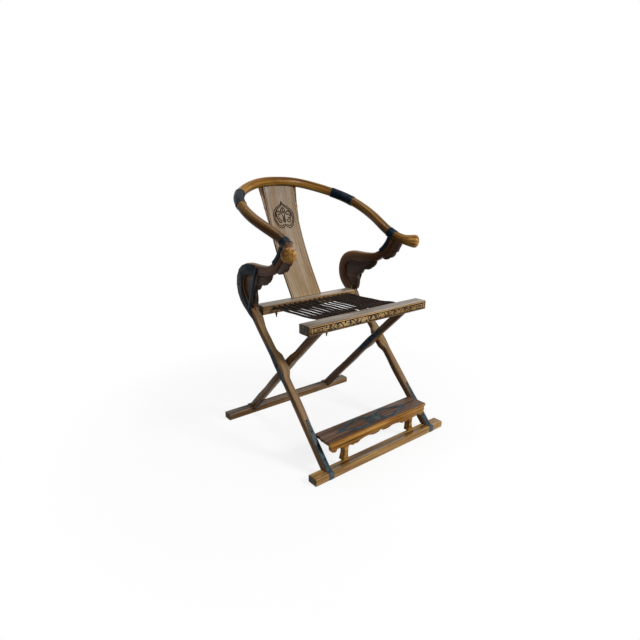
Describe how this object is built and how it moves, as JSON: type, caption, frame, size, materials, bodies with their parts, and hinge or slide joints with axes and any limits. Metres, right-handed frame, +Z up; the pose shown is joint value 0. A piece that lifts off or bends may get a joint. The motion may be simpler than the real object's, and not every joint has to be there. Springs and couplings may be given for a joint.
{
  "type": "folding horseshoe chair",
  "caption": "Folding armchair with crossed legs, a curved horseshoe crest rail on goosenecks, a splat back, a laced cord seat, iron mounts and a hinged footrest.",
  "frame": {"origin": "centre of the box at floor level", "axes": "+Z up, the sitter looks along -Y, +X is to the sitter's left"},
  "size_m": [0.7, 0.751, 1.0536],
  "materials": {
    "frame_wood": "polished honey-brown hardwood",
    "splat_wood": "polished paler hardwood with open grain",
    "iron": "dark blue-black iron, worn smooth",
    "cord": "dark brown twisted cord"
  },
  "bodies": {
    "outer_frame": {"arm_bracket_left": "frame_wood", "arm_bracket_right": "frame_wood", "arm_collars": "iron", "back_splat": "splat_wood", "crest_arm_left": "frame_wood", "crest_arm_right": "frame_wood", "crest_rail_middle": "frame_wood", "crest_sleeves": "iron", "footrest_pins": "iron", "front_foot_rail": "frame_wood", "front_foot_strap_left": "iron", "front_foot_strap_right": "iron", "gooseneck_brace_left": "iron", "gooseneck_brace_right": "iron", "gooseneck_bracket_left": "frame_wood", "gooseneck_bracket_right": "frame_wood", "gooseneck_nails": "iron", "gooseneck_plate_left": "iron", "gooseneck_plate_right": "iron", "outer_leg_left": "frame_wood", "outer_leg_right": "frame_wood", "outer_pivot_plates": "iron", "outer_plate_nails": "iron", "outer_strap_nails": "iron", "pivot_pins": "iron", "pivot_washers": "iron", "rear_cord_stitches": "cord", "rear_seat_rail": "frame_wood", "seat_cords": "cord", "splat_spandrel_left": "splat_wood", "splat_spandrel_right": "splat_wood"},
    "inner_frame": {"front_cord_stitches": "cord", "front_seat_rail": "frame_wood", "inner_leg_left": "frame_wood", "inner_leg_right": "frame_wood", "inner_pivot_plates": "iron", "inner_plate_nails": "iron", "inner_strap_nails": "iron", "rear_foot_rail": "frame_wood", "rear_foot_strap_left": "iron", "rear_foot_strap_right": "iron"},
    "footrest": {"footrest_apron": "frame_wood", "footrest_board": "frame_wood", "footrest_foot_left": "frame_wood", "footrest_foot_right": "frame_wood", "footrest_inlay": "iron"}
  },
  "joints": [
    {"name": "fold", "type": "hinge", "parent": "outer_frame", "child": "inner_frame", "pos_m": [0, -0.04811, 0.345], "axis": [-1, 0, 0], "range_deg": [0, 68], "deforming": ["seat_cords"]},
    {"name": "footrest_flip", "type": "hinge", "parent": "outer_frame", "child": "footrest", "pos_m": [0, -0.25945, 0.1225], "axis": [-1, 0, 0], "range_deg": [0, 110]}
  ]
}
